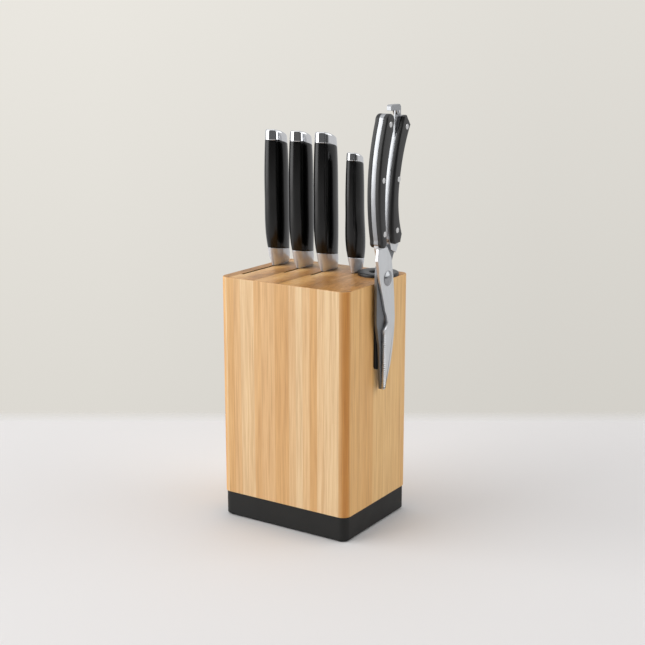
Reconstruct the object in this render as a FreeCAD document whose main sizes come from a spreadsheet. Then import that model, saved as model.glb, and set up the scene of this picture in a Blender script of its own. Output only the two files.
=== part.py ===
import FreeCAD, Part
import os
import Sketcher

# Knife block with four knives and a pair of poultry shears, in millimetres.
# +X runs along the front face towards the shears, +Y from the front face to the back, +Z up.
# The origin is the centre of the resting face, in the middle of the bamboo block.

SHEET_NAME = "Sizes"

SIZES = {
    # bamboo block and plinth
    "block_width": 134.0,
    "block_depth": 107.0,
    "block_height": 225.0,
    "corner_radius": 8.0,
    "edge_round": 0.8,
    "plinth_height": 23.3,
    "plinth_inset": 0.9,
    "plinth_wall": 3.0,
    "plinth_floor": 5.0,
    "plinth_round": 1.0,
    "mat_thickness": 1.0,
    "mat_inset": 3.0,
    # plinth screws
    "screw_radius": 2.0,
    "screw_head_radius": 4.0,
    "screw_head_height": 2.6,
    "screw_grip": 12.0,
    "screw_boss_radius": 6.5,
    "screw_clearance": 0.3,
    "screw_left": 42.0,
    "screw_right": 46.0,
    "screw_side": 40.0,
    # slots, all milled in the left face of the board to their right
    "slot_width": 3.0,
    "slot_floor": 3.0,
    "slot_back": 39.5,
    # honing steel hole and its collar
    "steel_right_gap": 18.7,
    "steel_place": 29.8,
    "steel_bore_radius": 8.0,
    "steel_hole_radius": 8.5,
    "steel_hole_floor": 20.0,
    "collar_radius": 18.4,
    "collar_height": 3.0,
    "collar_round": 1.4,
    "collar_spigot_radius": 11.0,
    "collar_spigot_depth": 12.0,
    # magnet pad for the shears
    "pad_thickness": 2.2,
    "pad_width": 14.0,
    "pad_place": -2.0,
    "pad_bottom": 148.0,
    "pad_height": 66.0,
    "pad_corner": 4.0,
    "pad_round": 0.5,
    "magnet_radius": 5.5,
    "magnet_thickness": 4.0,
    "magnet_spacing": 32.0,
    # three large knives
    "seat_gap": 0.3,
    "blade_thickness": 2.2,
    "large_spine": 38.0,
    "large_seat_centre": 26.0,
    "large_seat_depth": 25.0,
    "large_seat_thick": 9.0,
    "large_neck_height": 16.0,
    "large_neck_centre": 22.9,
    "large_neck_depth": 27.2,
    "large_neck_thick": 15.2,
    "large_belly_height": 68.0,
    "large_belly_centre": 20.4,
    "large_belly_depth": 29.0,
    "large_belly_thick": 18.6,
    "large_waist_height": 110.0,
    "large_waist_centre": 20.0,
    "large_waist_depth": 26.8,
    "large_waist_thick": 17.4,
    "large_top_height": 128.0,
    "large_top_centre": 19.6,
    "large_top_depth": 24.0,
    "large_top_thick": 15.4,
    "large_ferrule_front": 18.0,
    "large_ferrule_back": 14.0,
    "large_grip_front": 116.5,
    "large_grip_back": 110.0,
    "large_end_front": 126.2,
    "large_end_back": 117.2,
    "large_seat_lift": 4.5,
    "large_tang_depth": 11.0,
    "large_tang_top": 113.0,
    # one small knife
    "small_spine": 36.8,
    "small_seat_centre": 29.0,
    "small_seat_depth": 17.8,
    "small_seat_thick": 4.2,
    "small_neck_height": 14.0,
    "small_neck_centre": 27.2,
    "small_neck_depth": 20.2,
    "small_neck_thick": 12.8,
    "small_belly_height": 58.0,
    "small_belly_centre": 24.6,
    "small_belly_depth": 22.0,
    "small_belly_thick": 14.8,
    "small_waist_height": 94.0,
    "small_waist_centre": 24.2,
    "small_waist_depth": 20.4,
    "small_waist_thick": 13.8,
    "small_top_height": 110.5,
    "small_top_centre": 24.0,
    "small_top_depth": 18.4,
    "small_top_thick": 12.4,
    "small_ferrule_front": 15.6,
    "small_ferrule_back": 12.6,
    "small_grip_front": 101.8,
    "small_grip_back": 96.6,
    "small_end_front": 109.0,
    "small_end_back": 101.6,
    "small_seat_lift": 3.2,
    "small_tang_depth": 8.0,
    "small_tang_top": 99.0,
    # each knife: slot place along the block, slot's front end, height of the blade's point, width
    "chef_place": -55.4,
    "chef_slot_front": -34.7,
    "chef_point": 31.0,
    "chef_width": 46.0,
    "carving_place": -28.3,
    "carving_slot_front": -8.5,
    "carving_point": 31.0,
    "carving_width": 31.0,
    "bread_place": -1.5,
    "bread_slot_front": -5.5,
    "bread_point": 31.0,
    "bread_width": 34.0,
    "utility_place": 26.5,
    "utility_slot_front": 20.6,
    "utility_point": 95.0,
    "utility_width": 15.0,
    # poultry shears
    "pivot_place": 0.4,
    "pivot_height": 229.5,
    "shears_gap": 0.3,
    "shears_plate": 2.85,
    "shears_play": 0.3,
    "tang_thickness": 4.3,
    "scale_thickness": 4.35,
    "blade_reach": 99.2,
    "handle_reach": 141.0,
    "pivot_shaft_radius": 3.0,
    "pivot_running_fit": 0.05,
    "pivot_head_radius": 6.75,
    "pivot_head_height": 2.4,
    "pivot_head_round": 2.1,
    "pivot_nut_radius": 5.5,
    "pivot_nut_height": 1.5,
    "spring_ring_radius": 5.2,
    "spring_wire_radius": 0.55,
    "spring_recess_radius": 6.6,
    "spring_recess_depth": 1.7,
    "rivet_radius": 2.8,
    "rivet_stand": 0.15,
    "latch_pin_radius": 1.3,
    "latch_pin_place": 17.0,
    "latch_pin_height": 141.5,
    "latch_eye": 2.6,
    "latch_cheek": 0.9,
    "latch_lug": 2.0,
    "latch_play": 0.3,
    "latch_top": 148.0,
    "latch_front": 3.0,
    "latch_lip_height": 143.0,
    "latch_lip": 2.0,
    "latch_bridge": 1.6,
}

doc = FreeCAD.newDocument("KnifeBlock")
sheet = doc.addObject("Spreadsheet::Sheet", SHEET_NAME)


class Size:
    """A length known both as a number and as a formula on the sheet."""

    def __init__(self, value, text):
        self.value = value
        self.text = text

    def joined(self, other, sign, value):
        return Size(value, f"({self.text} {sign} {other.text})")

    def __add__(self, other):
        other = as_size(other)
        return self.joined(other, "+", self.value + other.value)

    def __sub__(self, other):
        other = as_size(other)
        return self.joined(other, "-", self.value - other.value)

    def __mul__(self, other):
        other = as_size(other)
        return self.joined(other, "*", self.value * other.value)

    def __truediv__(self, other):
        other = as_size(other)
        return self.joined(other, "/", self.value / other.value)

    def __neg__(self):
        return as_size(0) - self


def as_size(number):
    """A plain number as a Size; a Size stays as it is."""
    if isinstance(number, Size):
        return number
    return Size(float(number), f"{float(number)}")


for row, (alias, number) in enumerate(SIZES.items(), start=1):
    sheet.set(f"A{row}", alias)
    sheet.set(f"B{row}", str(number))
    sheet.setAlias(f"B{row}", alias)
doc.recompute()


def size(alias):
    """The named value on the sheet."""
    return Size(float(sheet.get(alias)), f"{SHEET_NAME}.{alias}")


# ---------------------------------------------------------------- sketches and features

def new_body(label):
    body = doc.addObject("PartDesign::Body", label)
    body.Label = label
    return body


def place(thing, x=None, y=None, z=None):
    """Bind the three places of an object to the sheet."""
    for axis, where in (("x", x), ("y", y), ("z", z)):
        if where is not None:
            thing.setExpression(f"Placement.Base.{axis}", as_size(where).text)


def sketch_on(body, role, lift=0):
    """A sketch on one of the body's origin planes, lifted along the plane's normal."""
    sketch = body.newObject("Sketcher::SketchObject", body.Label + "_sketch")
    plane = [each for each in body.Origin.OriginFeatures if each.Role == role][0]
    sketch.AttachmentSupport = [(plane, "")]
    sketch.MapMode = "FlatFace"
    sketch.setExpression("AttachmentOffset.Base.z", as_size(lift).text)
    return sketch


def pin_point(sketch, geometry, end, point):
    """Hold one point of the sketch at two bound distances from the sketch's origin."""
    for kind, where in (("DistanceX", point[0]), ("DistanceY", point[1])):
        where = as_size(where)
        index = sketch.addConstraint(Sketcher.Constraint(kind, -1, 1, geometry, end, where.value))
        sketch.setExpression(f"Constraints[{index}]", where.text)


def vector(point):
    return FreeCAD.Vector(as_size(point[0]).value, as_size(point[1]).value, 0)


def outline(sketch, corners):
    """A closed outline. A corner is (y, z), or (middle, end) for an arc through the middle.

    A sketch counts an arc's ends anticlockwise, so a clockwise arc begins at its second end.
    """
    ends = [corner[1] if isinstance(corner[0], tuple) else corner for corner in corners]
    edges = []
    for index, corner in enumerate(corners):
        begin, finish = vector(ends[index - 1]), vector(ends[index])
        forward = True
        if isinstance(corner[0], tuple):
            middle = vector(corner[0])
            edge = sketch.addGeometry(Part.Arc(begin, middle, finish), False)
            mark = sketch.addGeometry(Part.Point(middle), True)
            pin_point(sketch, mark, 1, corner[0])
            sketch.addConstraint(Sketcher.Constraint("PointOnObject", mark, 1, edge))
            forward = (middle - begin).cross(finish - begin).z > 0
        else:
            edge = sketch.addGeometry(Part.LineSegment(begin, finish), False)
        edges.append((edge, (1, 2) if forward else (2, 1)))
    for index, (edge, (begin, finish)) in enumerate(edges):
        before, (_, joint) = edges[index - 1]
        sketch.addConstraint(Sketcher.Constraint("Coincident", before, joint, edge, begin))
        pin_point(sketch, edge, finish, ends[index])


def circle(sketch, centre, radius):
    ring = sketch.addGeometry(Part.Circle(vector(centre), FreeCAD.Vector(0, 0, 1), radius.value), False)
    pin_point(sketch, ring, 3, centre)
    index = sketch.addConstraint(Sketcher.Constraint("Radius", ring, radius.value))
    sketch.setExpression(f"Constraints[{index}]", radius.text)


def rectangle(low, high):
    """Four corners of an upright rectangle."""
    return [low, (high[0], low[1]), high, (low[0], high[1])]


def rounded_rectangle(low, high, radius):
    """A rectangle whose corners are quarter circles, anticlockwise from the lower left."""
    bite = radius * (1 - 0.5 ** 0.5)
    (x0, y0), (x1, y1) = low, high
    return [
        (x1 - radius, y0), ((x1 - bite, y0 + bite), (x1, y0 + radius)),
        (x1, y1 - radius), ((x1 - bite, y1 - bite), (x1 - radius, y1)),
        (x0 + radius, y1), ((x0 + bite, y1 - bite), (x0, y1 - radius)),
        (x0, y0 + radius), ((x0 + bite, y0 + bite), (x0 + radius, y0)),
    ]


def extrude(body, kind, sketch, length, backwards=False):
    """A Pad or a Pocket of a sketch by a bound length."""
    feature = body.newObject(f"PartDesign::{kind}", f"{body.Label}_{kind.lower()}")
    feature.Profile = sketch
    feature.setExpression("Length", as_size(length).text)
    feature.Reversed = backwards
    doc.recompute()
    return feature


def pad(body, sketch, length):
    return extrude(body, "Pad", sketch, length)


def pocket(body, sketch, length, along_normal=False):
    return extrude(body, "Pocket", sketch, length, backwards=along_normal)


def round_edges(body, radius, wanted):
    """Fillet the body's edges for which wanted(edge) holds."""
    base = body.Tip
    names = [f"Edge{number}" for number, edge in enumerate(base.Shape.Edges, start=1) if wanted(edge)]
    fillet = body.newObject("PartDesign::Fillet", body.Label + "_fillet")
    fillet.Base = (base, names)
    fillet.setExpression("Radius", radius.text)
    doc.recompute()


def near(one, other):
    return abs(one - other) < 1e-3


def lies_at_height(edge, height):
    return near(edge.BoundBox.ZMin, height.value) and near(edge.BoundBox.ZMax, height.value)


def lies_at_side(edge, side):
    return near(edge.BoundBox.XMin, side.value) and near(edge.BoundBox.XMax, side.value)


def upright_cylinder(label, radius, height, x, y, z):
    """A cylinder along +Z whose lower end is at the bound point."""
    cylinder = doc.addObject("Part::Cylinder", label)
    cylinder.setExpression("Radius", as_size(radius).text)
    cylinder.setExpression("Height", as_size(height).text)
    place(cylinder, x, y, z)
    return cylinder


def cross_cylinder(label, radius, height, x, y, z):
    """A cylinder along +X whose left end is at the bound point."""
    cylinder = upright_cylinder(label, radius, height, x, y, z)
    cylinder.Placement.Rotation = FreeCAD.Rotation(FreeCAD.Vector(0, 1, 0), 90)
    return cylinder


def group(label, members):
    """Separate solids that share one node."""
    compound = doc.addObject("Part::Compound", label)
    compound.Label = label
    compound.Links = members
    return compound


def boolean(kind, label, base, tool):
    """A Part cut or common of two objects."""
    result = doc.addObject(f"Part::{kind}", label)
    result.Label = label
    result.Base = base
    result.Tool = tool
    return result


# ---------------------------------------------------------------- bamboo block

width, depth, height = size("block_width"), size("block_depth"), size("block_height")
half_width, half_depth = width / 2, depth / 2
plinth_top = size("plinth_height")
slot_width, slot_floor, slot_back = size("slot_width"), size("slot_floor"), size("slot_back")
steel_x = half_width - size("steel_right_gap")
steel_y = size("steel_place")
screw_places = [
    (x, y)
    for x in (-size("screw_left"), size("screw_right"))
    for y in (-size("screw_side"), size("screw_side"))
]
pad_y = size("pad_place")
pad_middle = size("pad_bottom") + size("pad_height") / 2
magnet_heights = [pad_middle - size("magnet_spacing") / 2, pad_middle + size("magnet_spacing") / 2]


def slot_left(knife):
    """The left side of a knife's slot, where two boards meet."""
    return size(f"{knife}_place") - slot_width / 2


def board_outline(left, right, rounded_left, rounded_right):
    """Plan of a board; an outer board has its two outer corners rounded."""
    radius = size("corner_radius")
    bite = radius * (1 - 0.5 ** 0.5)
    front, back = -half_depth, half_depth
    corners = []
    if rounded_left:
        corners += [(left + radius, back), ((left + bite, back - bite), (left, back - radius))]
        corners += [(left, front + radius), ((left + bite, front + bite), (left + radius, front))]
    else:
        corners += [(left, back), (left, front)]
    if rounded_right:
        corners += [(right - radius, front), ((right - bite, front + bite), (right, front + radius))]
        corners += [(right, back - radius), ((right - bite, back - bite), (right - radius, back))]
    else:
        corners += [(right, front), (right, back)]
    return corners


def make_board(label, left, right, rounded_left=False, rounded_right=False, knife=None):
    """One glued-up bamboo board, with a knife's slot milled in its left face."""
    body = new_body(label)
    plan = sketch_on(body, "XY_Plane", plinth_top)
    outline(plan, board_outline(left, right, rounded_left, rounded_right))
    pad(body, plan, height - plinth_top)
    inner = [side for side, outer in ((left, rounded_left), (right, rounded_right)) if not outer]
    round_edges(body, size("edge_round"), lambda edge: lies_at_height(edge, height)
                and not any(lies_at_side(edge, side) for side in inner))
    if knife:
        slot = sketch_on(body, "YZ_Plane", left)
        low = (size(f"{knife}_slot_front"), plinth_top + slot_floor)
        outline(slot, rectangle(low, (slot_back, height + 1)))
        pocket(body, slot, slot_width, along_normal=True)
    return body


def drill_pilots(body, side):
    """Pilot holes for the plinth screws on one side of the block."""
    pilots = sketch_on(body, "XY_Plane", plinth_top)
    for x, y in screw_places:
        if (x.value > 0) == (side > 0):
            circle(pilots, (x, y), size("screw_radius"))
    pocket(body, pilots, size("screw_grip"), along_normal=True)


left_board = make_board("left_board", -half_width, slot_left("chef"), rounded_left=True)
left_inner_board = make_board("left_inner_board", slot_left("chef"), slot_left("carving"), knife="chef")
drill_pilots(left_inner_board, -1)
middle_board = make_board("middle_board", slot_left("carving"), slot_left("bread"), knife="carving")
right_inner_board = make_board("right_inner_board", slot_left("bread"), slot_left("utility"), knife="bread")
right_board = make_board("right_board", slot_left("utility"), half_width,
                         rounded_right=True, knife="utility")
drill_pilots(right_board, 1)

steel_seat = sketch_on(right_board, "XY_Plane", height)
circle(steel_seat, (steel_x, steel_y), size("collar_spigot_radius"))
pocket(right_board, steel_seat, size("collar_spigot_depth"))
steel_hole = sketch_on(right_board, "XY_Plane", height - size("collar_spigot_depth"))
circle(steel_hole, (steel_x, steel_y), size("steel_hole_radius"))
pocket(right_board, steel_hole,
       height - size("collar_spigot_depth") - plinth_top - size("steel_hole_floor"))
magnet_holes = sketch_on(right_board, "YZ_Plane", half_width)
for magnet_z in magnet_heights:
    circle(magnet_holes, (pad_y, magnet_z), size("magnet_radius"))
pocket(right_board, magnet_holes, size("magnet_thickness"))


# ---------------------------------------------------------------- plinth, mat and screws

def inset_plan(inset):
    """The block's plan drawn in by an inset, with its corners drawn in too."""
    high = (half_width - inset, half_depth - inset)
    return rounded_rectangle((-high[0], -high[1]), high, size("corner_radius") - inset)


mat_top = size("mat_thickness")
head_height = size("screw_head_height")
plinth = new_body("plinth")
plinth_plan = sketch_on(plinth, "XY_Plane", mat_top)
outline(plinth_plan, inset_plan(size("plinth_inset")))
pad(plinth, plinth_plan, plinth_top - mat_top)
round_edges(plinth, size("plinth_round"), lambda edge: lies_at_height(edge, mat_top))
hollow = sketch_on(plinth, "XY_Plane", plinth_top)
outline(hollow, inset_plan(size("plinth_inset") + size("plinth_wall")))
for boss_place in screw_places:
    circle(hollow, boss_place, size("screw_boss_radius"))
pocket(plinth, hollow, plinth_top - mat_top - size("plinth_floor"))
passages = sketch_on(plinth, "XY_Plane", plinth_top)
for screw_place in screw_places:
    circle(passages, screw_place, size("screw_radius") + size("screw_clearance"))
pocket(plinth, passages, plinth_top - mat_top)
head_seats = sketch_on(plinth, "XY_Plane", mat_top)
for screw_place in screw_places:
    circle(head_seats, screw_place, size("screw_head_radius") + size("screw_clearance"))
pocket(plinth, head_seats, head_height, along_normal=True)

mat = new_body("non_slip_mat")
mat_plan = sketch_on(mat, "XY_Plane")
outline(mat_plan, inset_plan(size("mat_inset")))
pad(mat, mat_plan, mat_top)

screws = []
for number, (screw_x, screw_y) in enumerate(screw_places, start=1):
    head = upright_cylinder(f"screw_head_{number}", size("screw_head_radius"), head_height,
                            screw_x, screw_y, mat_top)
    shank = upright_cylinder(f"screw_shank_{number}", size("screw_radius"),
                             plinth_top + size("screw_grip") - mat_top - head_height,
                             screw_x, screw_y, mat_top + head_height)
    screws.append(boolean("Fuse", f"screw_{number}", head, shank))
plinth_screws = group("plinth_screws", screws)


# ---------------------------------------------------------------- collar, magnets and magnet pad

def revolve(body, sketch):
    """A full turn of a sketch about its vertical axis."""
    turn = body.newObject("PartDesign::Revolution", body.Label + "_revolution")
    turn.Profile = sketch
    turn.ReferenceAxis = (sketch, ["V_Axis"])
    turn.Angle = 360
    doc.recompute()


collar = new_body("steel_collar")
bore, flange = size("steel_bore_radius"), size("collar_radius")
spigot, spigot_depth = size("collar_spigot_radius"), size("collar_spigot_depth")
lip, collar_top = size("collar_round"), size("collar_height")
lip_bite = lip * (1 - 0.5 ** 0.5)
collar_section = sketch_on(collar, "XZ_Plane")
outline(collar_section, [
    (bore, -spigot_depth), (spigot, -spigot_depth), (spigot, as_size(0)), (flange, as_size(0)),
    (flange, collar_top - lip), ((flange - lip_bite, collar_top - lip_bite), (flange - lip, collar_top)),
    (bore + lip, collar_top), ((bore + lip_bite, collar_top - lip_bite), (bore, collar_top - lip)),
])
revolve(collar, collar_section)
place(collar, steel_x, steel_y, height)

magnets = [
    cross_cylinder(f"magnet_{number}", size("magnet_radius"), size("magnet_thickness"),
                   half_width - size("magnet_thickness"), pad_y, magnet_z)
    for number, magnet_z in enumerate(magnet_heights, start=1)
]
shears_magnets = group("shears_magnets", magnets)

magnet_pad = new_body("magnet_pad")
pad_outline = sketch_on(magnet_pad, "YZ_Plane", half_width)
outline(pad_outline, rounded_rectangle(
    (pad_y - size("pad_width") / 2, size("pad_bottom")),
    (pad_y + size("pad_width") / 2, size("pad_bottom") + size("pad_height")),
    size("pad_corner")))
pad(magnet_pad, pad_outline, size("pad_thickness"))
pad_face = half_width + size("pad_thickness")
round_edges(magnet_pad, size("pad_round"), lambda edge: lies_at_side(edge, pad_face))


# ---------------------------------------------------------------- knives

STATIONS = ("seat", "neck", "belly", "waist", "top")


def handle_envelope(knife, kind):
    """The whole handle's outer form: a loft through five ellipses, from the seat to the butt."""
    sections = []
    for station in STATIONS:
        ellipse = doc.addObject("Part::Ellipse", f"{knife}_{station}")
        ellipse.setExpression("MajorRadius", (size(f"{kind}_{station}_depth") / 2).text)
        ellipse.setExpression("MinorRadius", (size(f"{kind}_{station}_thick") / 2).text)
        ellipse.Placement.Rotation = FreeCAD.Rotation(FreeCAD.Vector(0, 0, 1), 90)
        rise = size("seat_gap") if station == "seat" else size(f"{kind}_{station}_height")
        place(ellipse, size(f"{knife}_place"), size(f"{kind}_{station}_centre"), height + rise)
        sections.append(ellipse)
    loft = doc.addObject("Part::Loft", f"{knife}_envelope")
    loft.Sections = sections
    loft.Solid = True
    loft.Ruled = False
    return loft


def slab(label, knife, kind, corners):
    """A block across the handle whose side view is the given outline."""
    body = new_body(label)
    reach = size(f"{kind}_belly_thick")
    side_view = sketch_on(body, "YZ_Plane", size(f"{knife}_place") - reach)
    outline(side_view, corners)
    pad(body, side_view, reach * 2)
    return body


def make_knife(knife, kind):
    """Blade with its tang, and the bolster, grip and end cap that surround the tang."""
    spine = size(f"{kind}_spine")
    tang, tang_top = size(f"{kind}_tang_depth") / 2, size(f"{kind}_tang_top")
    tang_y = size(f"{kind}_belly_centre")
    seat_y, seat = size(f"{kind}_seat_centre"), size(f"{kind}_seat_depth") / 2
    lift, gap = size(f"{kind}_seat_lift"), size("seat_gap")
    edge = spine - size(f"{knife}_width")
    neck_front = seat_y - seat * 0.8
    heel = height - 4
    tip = size(f"{knife}_point")
    length = height - tip
    blade = new_body(f"{knife}_blade")
    profile = sketch_on(blade, "YZ_Plane", size(f"{knife}_place") - size("blade_thickness") / 2)
    outline(profile, [
        (tang_y - tang, height + tang_top), (tang_y - tang, height + lift + 5),
        (neck_front, height + lift + 1), (neck_front, heel), (edge, heel - 3),
        (edge, tip + length * 0.35),
        ((edge + (spine - edge) * 0.28, tip + length * 0.1), (spine - 2, tip)),
        (spine, tip + 3), (spine, height + lift + gap + 0.6),
        (tang_y + tang, height + lift + 5), (tang_y + tang, height + tang_top),
    ])
    pad(blade, profile, size("blade_thickness"))

    envelope = handle_envelope(knife, kind)
    front, back = tang_y - seat * 3, tang_y + seat * 3
    seat_front, seat_back = seat_y - seat, seat_y + seat

    def cut_line(name):
        """Heights at the slab's ends of the slanted joint that passes through two named heights."""
        low, high = size(f"{kind}_{name}_front"), size(f"{kind}_{name}_back")
        belly = size(f"{kind}_belly_depth") / 2
        slope = (high - low) / (belly * 2)
        start = height + low - slope * (tang_y - belly)
        return start + slope * front, start + slope * back

    ferrule, grip_end, butt = cut_line("ferrule"), cut_line("grip"), cut_line("end")
    bands = {
        "bolster": [
            (front, height), (seat_front, height),
            ((seat_y + seat * 0.25, height + gap + lift * 0.3), (seat_back, height + gap + lift)),
            (back, height + gap + lift), (back, ferrule[1]), (front, ferrule[0]),
        ],
        "grip": [(front, ferrule[0]), (back, ferrule[1]), (back, grip_end[1]), (front, grip_end[0])],
        "cap": [(front, grip_end[0]), (back, grip_end[1]), (back, butt[1]), (front, butt[0])],
    }
    pieces = [blade]
    for name, corners in bands.items():
        band = slab(f"{knife}_{name}_slab", knife, kind, corners)
        shell = boolean("Common", f"{knife}_{name}_form", envelope, band)
        pieces.append(boolean("Cut", f"{knife}_{name}", shell, blade))
    return pieces


KNIVES = {"chef": "large", "carving": "large", "bread": "large", "utility": "small"}
knife_pieces = []
for knife_name, handle_kind in KNIVES.items():
    knife_pieces += make_knife(knife_name, handle_kind)


# ---------------------------------------------------------------- poultry shears

pivot_y, pivot_z = size("pivot_place"), size("pivot_height")
back_plate_x = pad_face + size("shears_gap")
plate, play = size("shears_plate"), size("shears_play")
front_plate_x = back_plate_x + plate + play
shears_middle = back_plate_x + plate + play / 2
tang_x = shears_middle - size("tang_thickness") / 2
reach, grip_reach = size("blade_reach"), size("handle_reach")


def at(across, up):
    """A point of the shears, from the pivot."""
    return (pivot_y + across, pivot_z + up)


# Outlines are measured from the pivot, closed shears hanging with the points down.
FRONT_SHANK = [at(-15.9, 27.4), at(-17.1, 17.0), at(-12.1, -2.4), at(-7.0, -16.5), at(-2.4, -30.0)]
FRONT_EDGE = [(at(0.2, -37.0), at(-4.9, -45.5)), at(-4.9, -reach)]
FRONT_SPINE = [at(-3.4, -reach), at(5.5, -78.5), (at(10.5, -58.0), at(12.6, -36.0)),
               at(11.0, -15.5), at(9.2, 0), at(5.8, 17.0), at(-1.5, 27.4)]
BACK_SHANK = [at(3.5, 28.4), at(-12.6, 10.5), at(-13.3, 4.0), at(-13.1, -38.0), at(-7.8, -60.0)]
BACK_SPINE = [at(-6.4, -84.0), at(-4.6, -reach), at(0.6, -reach)]
BACK_EDGE = [at(0.6, -45.0), at(1.5, -30.0), at(7.5, -14.0), at(9.4, 3.0), at(11.8, 13.5),
             at(19.0, 27.2), at(18.6, 28.4)]
# The thick part of each shank, which carries the tang and stops the other blade.
FRONT_SHOULDER = [at(-16.6, 35.0), at(-15.9, 27.4), at(-12.2, 18.0), at(-4.0, 24.0), at(-1.5, 27.4),
                  at(-2.6, 31.0), at(-7.8, 35.0)]
BACK_SHOULDER = [at(2.7, 36.0), at(4.6, 30.0), at(6.6, 24.0), at(14.5, 20.5), at(19.0, 27.2), at(17.8, 36.0)]

FRONT_HANDLE = [
    (at(-12.4, 28.0), at(-7.8, 34.0)),
    (at(-10.6, 80.0), at(2.4, 133.0)), (at(-2.5, grip_reach), at(-9.8, 135.0)),
    (at(-20.9, 88.0), at(-16.6, 34.0)),
]
BACK_HANDLE = [
    (at(5.6, 29.6), at(10.0, 29.2)), at(15.2, 29.6), at(17.9, 36.8),
    (at(12.2, 56.0), at(12.9, 82.0)), (at(18.0, 103.0), at(30.4, 130.2)),
    at(23.6, 138.6), at(19.6, 137.6), (at(4.6, 92.0), at(2.6, 35.0)),
]
LATCH_LUG = [at(12.4, 120.0), at(21.5, 120.0), at(21.5, 137.0), at(20.3, 144.3), at(13.4, 144.3)]
RIVETS = {
    "front": [at(-4.4, 132.2), at(-14.9, 86.2), at(-12.2, 40.2)],
    "back": [at(23.6, 128.6), at(10.8, 84.8), at(9.2, 41.0)],
}


def flat(body, corners, low, thickness):
    """Add a plate of the given side view to a body."""
    view = sketch_on(body, "YZ_Plane", low)
    outline(view, corners)
    pad(body, view, thickness)


def drill(body, places, radius, top, depth):
    """Bore along -X from a face at the bound place."""
    marks = sketch_on(body, "YZ_Plane", top)
    for centre in places:
        circle(marks, centre, radius)
    pocket(body, marks, depth)


tang, scale = size("tang_thickness"), size("scale_thickness")
shaft, rivet = size("pivot_shaft_radius"), size("rivet_radius")
tang_face = tang_x + tang

front_blade = new_body("front_blade")
flat(front_blade, FRONT_SHANK + FRONT_EDGE + FRONT_SPINE, front_plate_x, plate)
flat(front_blade, FRONT_SHOULDER, tang_x, tang)
flat(front_blade, FRONT_HANDLE, tang_x, tang)
drill(front_blade, [at(0, 0)], shaft, front_plate_x + plate, plate)
drill(front_blade, RIVETS["front"], rivet, tang_face, tang)

latch_pin = at(size("latch_pin_place"), size("latch_pin_height"))
lug = size("latch_lug")
lug_x = tang_x + (tang - lug) / 2
back_blade = new_body("back_blade")
flat(back_blade, BACK_SHANK + BACK_SPINE + BACK_EDGE, back_plate_x, plate)
flat(back_blade, BACK_SHOULDER, tang_x, tang)
flat(back_blade, BACK_HANDLE, tang_x, tang)
flat(back_blade, LATCH_LUG, lug_x, lug)
drill(back_blade, [at(0, 0)], shaft + size("pivot_running_fit"), back_plate_x + plate, plate)
drill(back_blade, [at(0, 0)], size("spring_recess_radius"), back_plate_x + plate,
      size("spring_recess_depth"))
drill(back_blade, RIVETS["back"], rivet, tang_face, tang)
drill(back_blade, [latch_pin], size("latch_pin_radius"), tang_face, tang)


def make_scale(label, corners, rivets, outside):
    """A black handle scale on one face of the tang."""
    low = tang_face if outside else tang_x - scale
    body = new_body(label)
    flat(body, corners, low, scale)
    drill(body, rivets, rivet, low + scale, scale)
    return body


scales = [
    make_scale("front_outer_scale", FRONT_HANDLE, RIVETS["front"], True),
    make_scale("front_inner_scale", FRONT_HANDLE, RIVETS["front"], False),
    make_scale("back_outer_scale", BACK_HANDLE, RIVETS["back"], True),
    make_scale("back_inner_scale", BACK_HANDLE, RIVETS["back"], False),
]

rivet_length = tang + (scale + size("rivet_stand")) * 2
rivet_groups = []
for side, centres in RIVETS.items():
    pins = [
        cross_cylinder(f"{side}_rivet_{number}", rivet, rivet_length,
                       tang_x - scale - size("rivet_stand"), centre[0], centre[1])
        for number, centre in enumerate(centres, start=1)
    ]
    rivet_groups.append(group(f"{side}_rivets", pins))

# The pivot screw: a shaft through both plates with a rounded head outside.
nut_height = size("pivot_nut_height")
shaft_start = back_plate_x - play - nut_height
head_seat = front_plate_x + plate
head_face = head_seat + size("pivot_head_height")
pivot_screw = new_body("pivot_screw")
shaft_plan = sketch_on(pivot_screw, "YZ_Plane", shaft_start)
circle(shaft_plan, at(0, 0), shaft)
pad(pivot_screw, shaft_plan, head_seat - shaft_start)
head_plan = sketch_on(pivot_screw, "YZ_Plane", head_seat)
circle(head_plan, at(0, 0), size("pivot_head_radius"))
pad(pivot_screw, head_plan, head_face - head_seat)
round_edges(pivot_screw, size("pivot_head_round"), lambda edge: lies_at_side(edge, head_face))

pivot_nut = new_body("pivot_nut")
nut_plan = sketch_on(pivot_nut, "YZ_Plane", shaft_start)
circle(nut_plan, at(0, 0), size("pivot_nut_radius"))
circle(nut_plan, at(0, 0), shaft)
pad(pivot_nut, nut_plan, nut_height)

opening_spring = doc.addObject("Part::Torus", "opening_spring")
opening_spring.Label = "opening_spring"
opening_spring.setExpression("Radius1", size("spring_ring_radius").text)
opening_spring.setExpression("Radius2", size("spring_wire_radius").text)
opening_spring.Placement.Rotation = FreeCAD.Rotation(FreeCAD.Vector(0, 1, 0), 90)
place(opening_spring, back_plate_x + plate - size("spring_recess_depth") / 2, pivot_y, pivot_z)

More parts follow.
